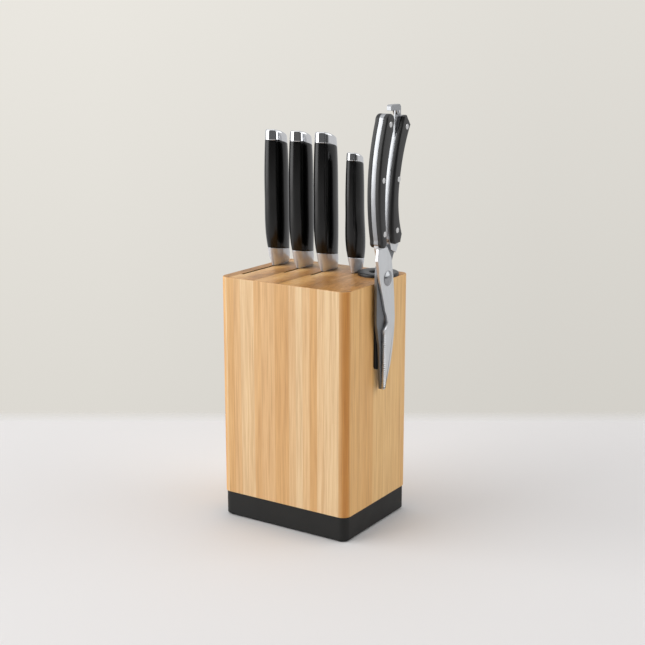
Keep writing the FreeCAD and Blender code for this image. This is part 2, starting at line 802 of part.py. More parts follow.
# The latch is a folded steel channel: two cheeks on the lug's pin, a bridge over the top
# and a lip at the front end.
cheek, latch_play = size("latch_cheek"), size("latch_play")
latch_low = lug_x - latch_play - cheek
latch_width = lug + (latch_play + cheek) * 2
latch_eye, latch_pin_up = size("latch_eye"), size("latch_pin_height")
latch_front, latch_back = size("latch_front"), size("latch_pin_place") + latch_eye + 0.4
latch_top, lip_low = size("latch_top"), size("latch_lip_height")
bridge, latch_lip = size("latch_bridge"), size("latch_lip")
latch = new_body("latch")
flat(latch, [
    at(latch_front, lip_low), at(latch_front, latch_top - 1.5), at(latch_front + 1.5, latch_top),
    at(latch_back - 2, latch_top), at(latch_back, latch_top - 2),
    at(latch_back, latch_pin_up - latch_eye), at(latch_back - latch_eye * 2, latch_pin_up - latch_eye),
    at(latch_back - latch_eye * 3, lip_low),
], latch_low, latch_width)
channel = sketch_on(latch, "YZ_Plane", lug_x + lug + latch_play)
outline(channel, rectangle(
    at(latch_front + latch_lip, latch_pin_up - latch_eye * 2),
    at(latch_back + latch_eye, latch_top - bridge)))
pocket(latch, channel, lug + latch_play * 2)
pin_clearance = size("latch_pin_radius") + size("pivot_running_fit")
drill(latch, [latch_pin], pin_clearance, latch_low + latch_width, latch_width)
latch_rivet = cross_cylinder("latch_pin", size("latch_pin_radius"), latch_width + 0.6,
                             latch_low - 0.3, latch_pin[0], latch_pin[1])


# ---------------------------------------------------------------- checks and files

doc.recompute()
NODES = [
    left_board, left_inner_board, middle_board, right_inner_board, right_board,
    plinth, mat, plinth_screws, collar, shears_magnets, magnet_pad,
    *knife_pieces,
    front_blade, back_blade, *scales, *rivet_groups,
    pivot_screw, pivot_nut, opening_spring, latch, latch_rivet,
]


def check_document():
    """Refuse a failed object, a sketch that does not solve, and a pocket that cuts nothing."""
    for thing in doc.Objects:
        if "Invalid" in thing.State or "Error" in thing.State:
            raise RuntimeError(f"{thing.Label} failed: {thing.State}")
        if thing.TypeId == "Sketcher::SketchObject" and thing.solve() != 0:
            raise RuntimeError(f"{thing.Label} does not solve")
        if thing.TypeId == "PartDesign::Pocket":
            before = thing.BaseFeature.Shape.Volume
            if before - thing.Shape.Volume < 0.1:
                raise RuntimeError(f"{thing.Label} cuts nothing")


def check_shape(node):
    if node.Shape.isNull() or not node.Shape.isValid() or not node.Shape.Solids:
        raise RuntimeError(f"{node.Label} has no valid solid")


check_document()
for node in NODES:
    check_shape(node)
os.makedirs("parts", exist_ok=True)
for node in NODES:
    node.Shape.exportStep(os.path.join("parts", f"{node.Label}.step"))
    print(f"{node.Label}: {len(node.Shape.Solids)} solid(s), {node.Shape.Volume:.0f} mm3")
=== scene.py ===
"""Knife block with four knives and poultry shears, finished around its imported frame.

Lengths in the classes are millimetres, as a maker would write them; meshes are in metres.
"""
import logging
import math
from dataclasses import dataclass, field
from enum import Enum

import bmesh
import bpy
import numpy as np
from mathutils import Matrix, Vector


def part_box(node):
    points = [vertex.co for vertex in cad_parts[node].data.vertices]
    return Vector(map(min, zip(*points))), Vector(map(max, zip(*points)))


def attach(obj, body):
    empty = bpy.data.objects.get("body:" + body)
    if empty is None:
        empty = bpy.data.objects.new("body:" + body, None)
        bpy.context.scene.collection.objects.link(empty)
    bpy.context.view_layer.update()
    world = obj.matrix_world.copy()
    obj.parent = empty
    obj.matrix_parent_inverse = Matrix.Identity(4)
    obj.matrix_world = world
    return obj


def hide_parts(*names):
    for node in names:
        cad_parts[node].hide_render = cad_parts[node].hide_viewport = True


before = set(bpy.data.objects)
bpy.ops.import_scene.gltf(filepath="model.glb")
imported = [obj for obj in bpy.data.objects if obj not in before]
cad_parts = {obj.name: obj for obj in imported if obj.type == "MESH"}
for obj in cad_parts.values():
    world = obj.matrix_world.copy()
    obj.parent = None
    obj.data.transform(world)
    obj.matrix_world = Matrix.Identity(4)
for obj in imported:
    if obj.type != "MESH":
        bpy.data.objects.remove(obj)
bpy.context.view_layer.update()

LOG = logging.getLogger("knife_block")
MM = 0.001
Socket, Tree, Node = bpy.types.NodeSocket, bpy.types.NodeTree, bpy.types.Node
Object, Mesh, Material = bpy.types.Object, bpy.types.Mesh, bpy.types.Material


# ---------------- colour and nodes

def linear(hex_colour: str) -> tuple[float, float, float, float]:
    """Turn an sRGB hex colour into Blender's linear RGBA.

    Args:
        hex_colour: Colour as "#rrggbb".

    Returns:
        Red, green, blue and alpha.
    """
    channels = [int(hex_colour[i:i + 2], 16) / 255 for i in (1, 3, 5)]
    curve = [c / 12.92 if c <= 0.04045 else ((c + 0.055) / 1.055) ** 2.4 for c in channels]
    return (*curve, 1.0)


def feed(tree: Tree, node: Node, **inputs: object) -> None:
    """Fill or link inputs of a node.

    Args:
        tree: Node tree that holds the node.
        node: Node whose inputs are set.
        inputs: Values, sockets or nodes, by socket name with underscores for spaces, or by
            number as i0, i1 and so on. A node stands for its first live output.
    """
    for name, value in inputs.items():
        key = int(name[1:]) if name[0] == "i" and name[1:].isdigit() else name.replace("_", " ")
        if isinstance(value, Node):
            value = next(socket for socket in value.outputs if socket.enabled)
        if isinstance(value, Socket):
            tree.links.new(value, node.inputs[key])
        else:
            node.inputs[key].default_value = value


def add_node(tree: Tree, kind: str, settings: dict | None = None, **inputs: object) -> Node:
    """Add a shader node with its settings and links.

    Args:
        tree: Node tree that takes the node.
        kind: Blender's type name of the node, without its ShaderNode prefix.
        settings: Properties of the node itself, such as its operation. A colour ramp takes
            its stops here too, each a place and a hex colour.
        inputs: What goes into the node, as in feed.

    Returns:
        The new node.
    """
    node = tree.nodes.new(f"ShaderNode{kind}")
    for name, value in (settings or {}).items():
        if name == "stops":
            elements = node.color_ramp.elements
            while len(elements) < len(value):
                elements.new(0.5)
            for element, (place, colour) in zip(elements, value):
                element.position = place
                element.color = linear(colour)
        else:
            setattr(node, name, value)
    feed(tree, node, **inputs)
    return node


def start_material(name: str) -> tuple[Material, Tree, Node]:
    """Make a node material.

    Args:
        name: Name of the material.

    Returns:
        The material, its node tree and its shader.
    """
    material = bpy.data.materials.new(name)
    material.use_nodes = True
    tree = material.node_tree
    return material, tree, tree.nodes["Principled BSDF"]


def per_metre(length_mm: float) -> float:
    """Return how many repeats of a length in millimetres fit in a metre."""
    return 1.0 / (length_mm * MM)


# ---------------- finishes

TIMES, PLUS, MINUS = {"operation": "MULTIPLY"}, {"operation": "ADD"}, {"operation": "SUBTRACT"}
WHOLE, PART, BELOW = {"operation": "FLOOR"}, {"operation": "FRACT"}, {"operation": "LESS_THAN"}
POSITIVE, DOT = {"operation": "ABSOLUTE"}, {"operation": "DOT_PRODUCT"}
COLOURS, TINT = {"data_type": "RGBA"}, {"data_type": "RGBA", "blend_type": "MULTIPLY"}


@dataclass(frozen=True)
class LacqueredBamboo:
    """Laminated bamboo, planed, sanded and lacquered.

    The eye gets upright strips of slightly different straw tones with fine straight fibres,
    a faint darker knuckle here and there, and a browner, speckled end grain on top.
    """

    name: str = "lacquered_bamboo"
    strip_width: float = 7.4
    strip_depth: float = 17.0
    fibre: tuple[float, float] = (1.0, 48.0)
    fibre_strength: float = 0.32
    streak: tuple[float, float] = (3.2, 95.0)
    streak_strength: float = 0.42
    glue_half: float = 0.11
    glue_strength: float = 0.25
    knuckle_spacing: float = 235.0
    tones: tuple[str, ...] = ("#e8b87a", "#efc48d", "#f2cb97", "#f8d9ab", "#edbf84")
    end_tones: tuple[str, ...] = ("#a0672a", "#c88e48", "#dcab6c")
    knuckle: str = "#e6c49c"
    glue_line: str = "#d8a468"
    # Painted shade: a warmer, slightly darker tone on the faces that look along X.
    painted_side_shade: str = "#fff6da"
    # Painted shade: a darker, more orange tone on the rounded upright corners.
    painted_corner_shade: str = "#f5dcb4"
    # Painted shade: dark brown on the faces inside the block, the walls of the slots and bores.
    painted_slot_shade: str = "#5b3818"
    roughness: float = 0.42
    # Half widths across X and Y, and the height, of the box within which faces take the painted slot shade.
    inside: tuple[float, float, float] = (64.3, 50.9, 224.6)

    def make(self) -> Material:
        """Build the material.

        Returns:
            Wood with strips, fibres, knuckles, glue lines and an end grain on level faces.
        """
        material, tree, shader = start_material(self.name)
        place = add_node(tree, "TexCoord").outputs["Object"]
        axes = add_node(tree, "SeparateXYZ", Vector=place).outputs
        column = add_node(tree, "Math", TIMES, i0=axes["X"], i1=per_metre(self.strip_width))
        column_number = add_node(tree, "Math", WHOLE, i0=column)
        shift = add_node(tree, "TexWhiteNoise", {"noise_dimensions": "1D"}, W=column_number)
        layer = add_node(tree, "Math", TIMES, i0=axes["Y"], i1=per_metre(self.strip_depth))
        layer = add_node(tree, "Math", PLUS, i0=layer, i1=shift)
        layer_number = add_node(tree, "Math", WHOLE, i0=layer)
        strip = add_node(tree, "CombineXYZ", X=column_number, Y=layer_number)
        lot = add_node(tree, "TexWhiteNoise", {"noise_dimensions": "3D"}, Vector=strip)
        tone = lot.outputs["Value"]
        spread = add_node(tree, "VectorMath", {"operation": "SCALE"}, i0=lot.outputs["Color"], Scale=3.0)

        def grain(width: float, length: float) -> Node:
            """Noise drawn out along the fibres, different in every strip."""
            scale = (per_metre(width), per_metre(width), per_metre(length))
            drawn = add_node(tree, "Mapping", Vector=place, Scale=scale)
            moved = add_node(tree, "VectorMath", PLUS, i0=drawn, i1=spread)
            return add_node(tree, "TexNoise", Vector=moved, Scale=1.0, Detail=3.0, Roughness=0.6)

        fine, broad = grain(*self.fibre), grain(*self.streak)
        steps = [index / (len(self.tones) - 1) for index in range(len(self.tones))]
        wood = add_node(tree, "ValToRGB", {"stops": list(zip(steps, self.tones))}, Fac=tone)
        stops = [(0.3, "#cdb08a"), (0.5, "#f5ecdf"), (0.68, "#ffffff")]
        streaks = add_node(tree, "ValToRGB", {"stops": stops}, Fac=broad)
        wood = add_node(tree, "Mix", TINT, i0=self.streak_strength, i6=wood, i7=streaks)
        fibres = add_node(tree, "ValToRGB", {"stops": [(0.35, "#cba983"), (0.6, "#ffffff")]}, Fac=fine)
        wood = add_node(tree, "Mix", TINT, i0=self.fibre_strength, i6=wood, i7=fibres)

        climb = add_node(tree, "Math", TIMES, i0=axes["Z"], i1=per_metre(self.knuckle_spacing))
        lift = add_node(tree, "Math", TIMES, i0=tone, i1=7.3)
        climb = add_node(tree, "Math", PLUS, i0=climb, i1=lift)
        waver = add_node(tree, "Math", TIMES, i0=broad, i1=0.02)
        climb = add_node(tree, "Math", PLUS, i0=climb, i1=waver)
        knuckle = add_node(tree, "Math", PART, i0=climb)
        stops = [(0.0, "#000000"), (0.004, "#000000"), (0.009, "#484848"),
                 (0.013, "#242424"), (0.03, "#141414"), (0.05, "#000000")]
        band = add_node(tree, "ValToRGB", {"stops": stops}, Fac=knuckle)
        darker = add_node(tree, "Mix", TINT, i0=1.0, i6=wood, i7=linear(self.knuckle))
        wood = add_node(tree, "Mix", COLOURS, i0=band, i6=wood, i7=darker)

        def joint(coordinate: Node, width: float) -> Node:
            """Near 1 within a fine line at each whole number of the coordinate."""
            part = add_node(tree, "Math", PART, i0=coordinate)
            rest = add_node(tree, "Math", MINUS, i0=1.0, i1=part)
            edge = add_node(tree, "Math", {"operation": "MINIMUM"}, i0=part, i1=rest)
            return add_node(tree, "Math", BELOW, i0=edge, i1=self.glue_half / width)

        lines = add_node(tree, "Math", {"operation": "MAXIMUM"}, i0=joint(column, self.strip_width),
                         i1=joint(layer, self.strip_depth))
        lines = add_node(tree, "Math", TIMES, i0=lines, i1=self.glue_strength)
        wood = add_node(tree, "Mix", COLOURS, i0=lines, i6=wood, i7=linear(self.glue_line))

        normal = add_node(tree, "NewGeometry").outputs["Normal"]
        facing = add_node(tree, "SeparateXYZ", Vector=normal).outputs
        # Painted shade: faces that look along X take a warmer, slightly darker tone.
        sideways = add_node(tree, "Math", POSITIVE, i0=facing["X"])
        onwards = add_node(tree, "Math", POSITIVE, i0=facing["Y"])
        side = add_node(tree, "MapRange", Value=sideways, i1=0.3, i2=0.8)
        wood = add_node(tree, "Mix", TINT, i0=side, i6=wood, i7=linear(self.painted_side_shade))
        # Painted shade: faces that look half along X and half along Y, the rounded corners, take a darker, more
        # orange tone.
        diagonal = add_node(tree, "Math", TIMES, i0=sideways, i1=onwards)
        corner = add_node(tree, "MapRange", Value=diagonal, i1=0.1, i2=0.45)
        wood = add_node(tree, "Mix", TINT, i0=corner, i6=wood, i7=linear(self.painted_corner_shade))

        bundle = (per_metre(1.0), per_metre(9.0), per_metre(9.0))
        drawn = add_node(tree, "Mapping", Vector=place, Scale=bundle)
        pores = add_node(tree, "TexNoise", Vector=drawn, Scale=1.0, Detail=3.0, Roughness=0.6)
        end = add_node(tree, "ValToRGB", {"stops": list(zip((0.3, 0.5, 0.7), self.end_tones))}, Fac=pores)
        lots = add_node(tree, "ValToRGB", {"stops": [(0.0, "#c4bcb0"), (1.0, "#ffffff")]}, Fac=tone)
        end = add_node(tree, "Mix", TINT, i0=0.7, i6=end, i7=lots)
        top = add_node(tree, "MapRange", Value=facing["Z"], i1=0.5, i2=0.95)
        colour = add_node(tree, "Mix", COLOURS, i0=top, i6=wood, i7=end)
        # Painted shade: faces inside the box of inside, the walls of the slots and bores, turn dark brown.
        walls = []
        for axis, limit in zip("XYZ", self.inside):
            away = add_node(tree, "Math", POSITIVE, i0=axes[axis])
            walls.append(add_node(tree, "Math", BELOW, i0=away, i1=limit * MM))
        painted_slot_shade = add_node(tree, "Math", TIMES, i0=walls[0], i1=walls[1])
        painted_slot_shade = add_node(tree, "Math", TIMES, i0=painted_slot_shade, i1=walls[2])
        colour = add_node(tree, "Mix", COLOURS, i0=painted_slot_shade, i6=colour, i7=linear(self.painted_slot_shade))

        rough = add_node(tree, "MapRange", Value=fine, i1=0.3, i2=0.7, i3=self.roughness - 0.05,
                         i4=self.roughness + 0.08)
        bump = add_node(tree, "Bump", Height=fine, Strength=0.12, Distance=0.0002)
        feed(tree, shader, Base_Color=colour, Roughness=rough, Normal=bump, IOR=1.5)
        return material


@dataclass(frozen=True)
class MouldedPlastic:
    """Injection-moulded black plastic with a spark-eroded or a polished mould face.

    A fine even grain breaks up its reflections; a glossy one shows clean soft highlights.
    """

    name: str
    colour: str
    roughness: float
    grain: float = 0.35
    grain_depth: float = 0.02
    clouds: float = 18.0
    specular: float = 0.5

    def make(self) -> Material:
        """Build the material.

        Returns:
            Plastic with faint clouds in its colour and gloss, and a fine grain.
        """
        material, tree, shader = start_material(self.name)
        place = add_node(tree, "TexCoord").outputs["Object"]
        cloud = add_node(tree, "TexNoise", Vector=place, Scale=per_metre(self.clouds), Detail=3.0)
        grain = add_node(tree, "TexNoise", Vector=place, Scale=per_metre(self.grain), Detail=2.0)
        tint = add_node(tree, "ValToRGB", {"stops": [(0.3, "#d8d8d8"), (0.7, "#ffffff")]}, Fac=cloud)
        colour = add_node(tree, "Mix", TINT, i0=1.0, i6=linear(self.colour), i7=tint)
        rough = add_node(tree, "MapRange", Value=cloud, i1=0.3, i2=0.7, i3=self.roughness * 0.9,
                         i4=self.roughness * 1.12)
        bump = add_node(tree, "Bump", Height=grain, Strength=0.5, Distance=self.grain_depth * MM)
        feed(tree, shader, Base_Color=colour, Roughness=rough, Normal=bump, IOR=1.49,
             Specular_IOR_Level=self.specular)
        return material


@dataclass(frozen=True)
class GroundSteel:
    """Stainless steel, ground along one direction and then more or less polished.

    Long fine lines stretch the highlights; a polished face keeps only a trace of them.
    """

    name: str
    colour: str
    roughness: float
    lines: tuple[float, float, float] = (0.25, 0.25, 30.0)
    line_depth: float = 0.004
    line_strength: float = 0.35
    metallic: float = 1.0
    smudges: float = 14.0

    def make(self) -> Material:
        """Build the material.

        Returns:
            Steel with drawn-out grinding lines and faint smudges in its gloss.
        """
        material, tree, shader = start_material(self.name)
        place = add_node(tree, "TexCoord").outputs["Object"]
        scale = tuple(per_metre(length) for length in self.lines)
        drawn = add_node(tree, "Mapping", Vector=place, Scale=scale)
        lines = add_node(tree, "TexNoise", Vector=drawn, Scale=1.0, Detail=3.0, Roughness=0.7)
        smudge = add_node(tree, "TexNoise", Vector=place, Scale=per_metre(self.smudges), Detail=3.0)
        tint = add_node(tree, "ValToRGB", {"stops": [(0.3, "#e2e2e2"), (0.7, "#ffffff")]}, Fac=lines)
        colour = add_node(tree, "Mix", TINT, i0=0.7, i6=linear(self.colour), i7=tint)
        wear = add_node(tree, "Math", PLUS, i0=lines, i1=smudge)
        rough = add_node(tree, "MapRange", Value=wear, i1=0.7, i2=1.3, i3=self.roughness * 0.8,
                         i4=self.roughness * 1.25)
        bump = add_node(tree, "Bump", Height=lines, Strength=self.line_strength,
                        Distance=self.line_depth * MM)
        feed(tree, shader, Base_Color=colour, Roughness=rough, Normal=bump, Metallic=self.metallic)
        return material


FINISHES = {
    # Laminated bamboo under a satin lacquer: warm straw strips with soft highlights.
    "bamboo": LacqueredBamboo(),
    # ABS from a spark-eroded mould: nearly black and matt, with an even grain.
    "base": MouldedPlastic("spark_eroded_abs", "#20201f", 0.55, grain=0.5, grain_depth=0.03, specular=0.35),
    # ABS from a satin mould: black with broad soft highlights.
    "collar": MouldedPlastic("satin_abs", "#171717", 0.36, grain=0.6, grain_depth=0.01),
    # Moulded elastomer: flat black that swallows the light.
    "pad": MouldedPlastic("pad_elastomer", "#0c0c0c", 0.7, grain=0.6, grain_depth=0.03),
    # EVA foam, die-cut: dull dark grey with open pores.
    "mat": MouldedPlastic("eva_foam", "#141414", 0.85, grain=0.9, grain_depth=0.08),
    # Acetal from a polished mould: deep black with long clear highlights.
    "grip": MouldedPlastic("polished_pom", "#040404", 0.2, grain=0.8, grain_depth=0.001, specular=0.45),
    # Acetal, moulded and tumbled: charcoal with a low sheen.
    "scale": MouldedPlastic("moulded_pom_scales", "#1f1f1f", 0.38, grain=0.7, grain_depth=0.008),
    # Stainless steel, mirror polished: it shows the room as bright and dark patches.
    "polished": GroundSteel("mirror_polished_steel", "#e4e5e7", 0.08, line_strength=0.12),
    # Stainless steel, ground across the blade: silver with fine lines from spine to edge.
    "blade": GroundSteel("fine_ground_blade_steel", "#c9cbce", 0.26, lines=(0.4, 18.0, 0.22)),
    # Stainless steel, satin blasted over a polish: pale silver that hides what lies below.
    "bolster": GroundSteel("satin_bolster_steel", "#e0e2e6", 0.2, line_strength=0.15, metallic=0.4),
    # Stainless steel strip, folded and brushed: mid grey with short lines.
    "latch": GroundSteel("satin_latch_steel", "#a9abae", 0.22, lines=(0.3, 6.0, 0.3)),
    # Forged stainless steel, brushed along the blade: bright grey and soft.
    "shears": GroundSteel("satin_forged_steel", "#dcdee0", 0.34, lines=(0.3, 0.3, 14.0)),
    # Stainless steel, hollow ground, in painted shade: darker, because it faces away from the light behind the
    # front blade.
    "hollow": GroundSteel("shaded_back_blade_steel", "#7e8083", 0.42, lines=(0.3, 14.0, 0.3)),
    # Stainless steel, turned and burnished: a dark dome with one bright patch.
    "screw": GroundSteel("turned_screw_steel", "#a3a5a8", 0.12, lines=(0.5, 0.5, 0.5), line_strength=0.1),
    # Stainless steel, belt-polished round the handle: light grey with long lines.
    "tang": GroundSteel("polished_tang_steel", "#aeb0b3", 0.32, lines=(0.3, 0.3, 20.0)),
    # Stainless steel, pressed and tumbled: small bright discs.
    "rivet": GroundSteel("pressed_rivet_steel", "#dcdcdc", 0.2, lines=(0.5, 0.5, 0.5)),
    # Steel, zinc plated: slightly blue and cloudy.
    "zinc": GroundSteel("zinc_plated_steel", "#c9cdd0", 0.3, lines=(0.6, 0.6, 0.6)),
    # Spring steel wire, drawn: grey with a dull gloss.
    "spring": GroundSteel("drawn_spring_wire", "#9a9b9d", 0.32, lines=(0.3, 0.3, 0.3)),
}


class Workshop:
    """Keeps one material per finish, made when first asked for."""

    def __init__(self) -> None:
        """Start with no materials."""
        self.made: dict[str, Material] = {}

    def finish(self, name: str) -> Material:
        """Return the material of a finish.

        Args:
            name: Key of the finish.

        Returns:
            Its material.
        """
        if name not in self.made:
            self.made[name] = FINISHES[name].make()
        return self.made[name]


WORKSHOP = Workshop()


# ---------------- meshes from numpy

def new_piece(name: str, points: np.ndarray, faces: list, finish: str, body: str,
              sharp_degrees: float = 32.0) -> Object:
    """Make a finished piece from points in metres and faces as lists of point numbers.

    Args:
        name: Name of the piece.
        points: Array of points, one row each.
        faces: Faces, each a list of rows of the array.
        finish: Key of the finish.
        body: Body that the piece rides on.
        sharp_degrees: Edges that turn more than this stay crisp.

    Returns:
        The object, at the origin, riding on its body.
    """
    mesh = bpy.data.meshes.new(name)
    mesh.from_pydata(points.tolist(), [], faces)
    work = bmesh.new()
    work.from_mesh(mesh)
    bmesh.ops.remove_doubles(work, verts=work.verts, dist=1e-7)
    bmesh.ops.recalc_face_normals(work, faces=work.faces)
    work.to_mesh(mesh)
    work.free()
    return finish_piece(name, mesh, finish, body, sharp_degrees)


def finish_piece(name: str, mesh: Mesh, finish: str, body: str,
                 sharp_degrees: float) -> Object:
    """Give a mesh its shading, finish and body, and report it.

    Args:
        name: Name of the piece.
        mesh: Its mesh, in metres.
        finish: Key of the finish.
        body: Body that the piece rides on.
        sharp_degrees: Edges that turn more than this stay crisp.

    Returns:
        The object.
    """
    mesh.polygons.foreach_set("use_smooth", np.ones(len(mesh.polygons), dtype=bool))
    mesh.set_sharp_from_angle(angle=math.radians(sharp_degrees))
    mesh.materials.append(WORKSHOP.finish(finish))
    piece = bpy.data.objects.new(name, mesh)
    bpy.context.scene.collection.objects.link(piece)
    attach(piece, body)
    LOG.info("%s: %d points on %s", name, len(mesh.vertices), body)
    return piece


def ring_faces(rows: int, columns: int, cap_first: bool = True, cap_last: bool = True) -> list:
    """Faces of a tube given as rows of closed rings.

    Each face joins a point, its neighbour along the ring, and the same two on the next ring.

    Args:
        rows: Number of rings.
        columns: Number of points in each ring.
        cap_first: Whether a face closes the first ring.
        cap_last: Whether a face closes the last ring.

    Returns:
        Faces, each a list of point numbers.
    """
    first = np.arange(rows * columns).reshape(rows, columns)
    after = np.roll(first, -1, axis=1)
    quads = np.stack([first[:-1], after[:-1], after[1:], first[1:]], axis=-1)
    faces = quads.reshape(-1, 4).tolist()
    if cap_first:
        faces.append(first[0][::-1].tolist())
    if cap_last:
        faces.append(first[-1].tolist())
    return faces


def tube(rows: np.ndarray) -> tuple[np.ndarray, list]:
    """Points and faces of a closed tube from rings shaped (rows, columns, 3) in millimetres."""
    return rows.reshape(-1, 3) * MM, ring_faces(rows.shape[0], rows.shape[1])


def merged_copy(node: str, bevel: float = 0.0, sharp_degrees: float = 32.0, finish: str = "bamboo",
                body: str = "block") -> Object:
    """A copy of a CAD node with its loose triangles joined, so that it can be shaded and bevelled.

    Args:
        node: CAD node that the copy replaces.
        bevel: Width of the rounding on its crisp edges, in millimetres.
        sharp_degrees: Edges that turn more than this stay crisp.
        finish: Key of the finish.
        body: Body that it rides on.

    Returns:
        The copy.
    """
    mesh = bpy.data.objects[node].data.copy()
    mesh.materials.clear()
    work = bmesh.new()
    work.from_mesh(mesh)
    bmesh.ops.remove_doubles(work, verts=work.verts, dist=2e-6)
    bmesh.ops.dissolve_limit(work, angle_limit=math.radians(0.6), verts=work.verts, edges=work.edges)
    work.to_mesh(mesh)
    work.free()
    piece = finish_piece(f"{node}_shell", mesh, finish, body, sharp_degrees)
    if bevel:
        soften = piece.modifiers.new("edge_rounding", "BEVEL")
        soften.width = bevel * MM
        soften.segments = 3
        soften.limit_method = "ANGLE"
        soften.angle_limit = math.radians(35)
        soften.harden_normals = True
    else:
        level = piece.modifiers.new("flat_faces", "WEIGHTED_NORMAL")
        level.keep_sharp = True
    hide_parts(node)
    return piece


def smooth_between(places: np.ndarray, values: np.ndarray, at: np.ndarray) -> np.ndarray:
    """Values of a smooth curve through given values.

    Between two places the curve is the cubic whose slopes at them are those of the parabola
    through the neighbours.

    Args:
        places: Rising places of the given values.
        values: Values at the places.
        at: Where the curve is wanted.

    Returns:
        The curve there.
    """
    slopes = np.gradient(values, places)
    index = np.clip(np.searchsorted(places, at) - 1, 0, len(places) - 2)
    gap = places[index + 1] - places[index]
    share = np.clip((at - places[index]) / gap, 0.0, 1.0)
    square, cube = share ** 2, share ** 3
    return ((2 * cube - 3 * square + 1) * values[index] + (cube - 2 * square + share) * gap * slopes[index]
            + (3 * square - 2 * cube) * values[index + 1] + (cube - square) * gap * slopes[index + 1])


def arc_points(begin: np.ndarray, middle: np.ndarray, end: np.ndarray, step: float) -> np.ndarray:
    """Points of the circular arc from begin through middle to end, without begin.

    The centre is where the upright bisectors of the two chords meet.

    Args:
        begin: First point of the arc.
        middle: A point along it.
        end: Its last point.
        step: Distance between points, in millimetres.

    Returns:
        Points, one row each.
    """
    first, second = middle - begin, end - begin
    cross = 2 * (first[0] * second[1] - first[1] * second[0])
    a, b = first @ first, second @ second
    offset = np.array([second[1] * a - first[1] * b, first[0] * b - second[0] * a]) / cross
    centre, radius = begin + offset, math.hypot(*offset)
    start = math.atan2(*(begin - centre)[::-1])
    finish = math.atan2(*(end - centre)[::-1])
    turn = 1 if cross > 0 else -1
    sweep = turn * ((turn * (finish - start)) % (2 * math.pi))
    count = max(3, int(abs(sweep) * radius / step))
    angles = start + sweep * np.arange(1, count + 1) / count
    return centre + radius * np.stack([np.cos(angles), np.sin(angles)], axis=1)


def outline(corners: list, step: float = 1.6) -> np.ndarray:
    """Points of a closed outline of straight and arc stretches.

    Args:
        corners: Each a point, or a pair of points: the middle and the end of an arc.
        step: Distance between points, in millimetres.

    Returns:
        Array of (y, z) points, anticlockwise.
    """
    ends = [corner[1] if isinstance(corner[0], tuple) else corner for corner in corners]
    runs = []
    for number, corner in enumerate(corners):
        begin, end = np.array(ends[number - 1], float), np.array(ends[number], float)
        if isinstance(corner[0], tuple):
            runs.append(arc_points(begin, np.array(corner[0], float), end, step))
        else:
            count = max(1, int(math.dist(begin, end) / step))
            runs.append(begin + (end - begin) * (np.arange(1, count + 1) / count)[:, None])
    points = np.concatenate(runs)
    following = np.roll(points, -1, axis=0)
    area = np.sum(points[:, 0] * following[:, 1] - points[:, 1] * following[:, 0])
    return points if area > 0 else points[::-1]


def drawn_in(points: np.ndarray, inset: np.ndarray | float) -> np.ndarray:
    """An anticlockwise outline moved inwards along its normals by an inset per point.

    Args:
        points: Outline of (y, z) points.
        inset: Distance that each point moves.

    Returns:
        The moved outline.
    """
    along = np.roll(points, -1, axis=0) - np.roll(points, 1, axis=0)
    along /= np.maximum(np.linalg.norm(along, axis=1, keepdims=True), 1e-9)
    inwards = np.stack([-along[:, 1], along[:, 0]], axis=1)
    return points + inwards * np.reshape(inset, (-1, 1))


def plate_rows(points: np.ndarray, low: float, high: float, low_rim: float, high_rim: float,
               bevel: np.ndarray | float = 0.0, bevel_depth: float = 0.9) -> np.ndarray:
    """Rings of a flat plate whose two rims are quarter circles.

    Near each face the outline moves inwards by rim * (1 - cos a) while the height changes by
    rim * (1 - sin a); a bevel moves the far face's outline in further, evenly over its depth.

    Args:
        points: Outline of (y, z) points.
        low: Place of the near face across X.
        high: Place of the far face.
        low_rim: Radius of the near rim.
        high_rim: Radius of the far rim.
        bevel: Width of the bevel on the far face, at each point.
        bevel_depth: How far the bevel reaches across X.

    Returns:
        Rings shaped (rows, points, 3).
    """
    quarter = np.linspace(0.0, math.pi / 2, 5)
    rings = []
    for angle in quarter[::-1]:
        rings.append((low + low_rim * (1 - math.cos(math.pi / 2 - angle)),
                      low_rim * (1 - math.sin(math.pi / 2 - angle))))
    if np.any(bevel):
        rings.append((high - bevel_depth, 0.0))
    for angle in quarter:
        rings.append((high - high_rim * (1 - math.sin(angle)), high_rim * (1 - math.cos(angle))))
    rows = []
    for x, inset in rings:
        share = min(max((x - high) / bevel_depth + 1.0, 0.0), 1.0)
        ring = drawn_in(points, inset + np.asarray(bevel) * share)
        rows.append(np.column_stack([np.full(len(ring), x), ring]))
    return np.array(rows)


def lathe_rows(profile: list[tuple[float, float]], count: int = 48) -> np.ndarray:
    """Rings about the Z axis for a profile of (radius, height).

    Args:
        profile: Radius and height of each ring.
        count: Number of points in a ring.

    Returns:
        Rings shaped (rows, count, 3).
    """
    turn = np.linspace(0, 2 * math.pi, count, endpoint=False)
    return np.array([np.column_stack([radius * np.cos(turn), radius * np.sin(turn), np.full(count, up)])
                     for radius, up in profile])


def across(rows: np.ndarray, centre: tuple[float, float, float]) -> np.ndarray:
    """Rings made about Z, laid over so that Z becomes +X, and moved to a centre."""
    return np.stack([rows[..., 2], rows[..., 0], rows[..., 1]], axis=-1) + np.array(centre)


# ---------------- block

